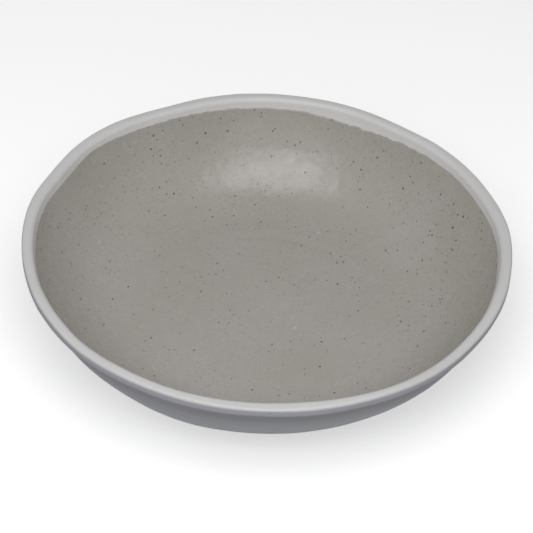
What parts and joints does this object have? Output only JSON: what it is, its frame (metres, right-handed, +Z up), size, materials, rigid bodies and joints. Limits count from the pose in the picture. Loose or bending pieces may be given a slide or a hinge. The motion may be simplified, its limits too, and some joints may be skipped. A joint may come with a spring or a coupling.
{
  "type": "serving bowl",
  "caption": "Wide, shallow, hand-thrown stoneware serving bowl on a foot ring, white glazed outside and rim, grey speckled glaze inside.",
  "frame": {"origin": "centre of the foot ring's resting plane", "axes": "+Z up along the bowl's turning axis; X and Y are any two level directions, as the bowl is round"},
  "size_m": [0.33, 0.33, 0.075],
  "materials": {
    "bare_stoneware": "matte",
    "white_glaze": "satin",
    "speckled_glaze": "satin"
  },
  "bodies": {
    "root": {"stoneware_body": "bare_stoneware", "white_glaze": "white_glaze", "speckled_glaze": "speckled_glaze"}
  },
  "joints": []
}
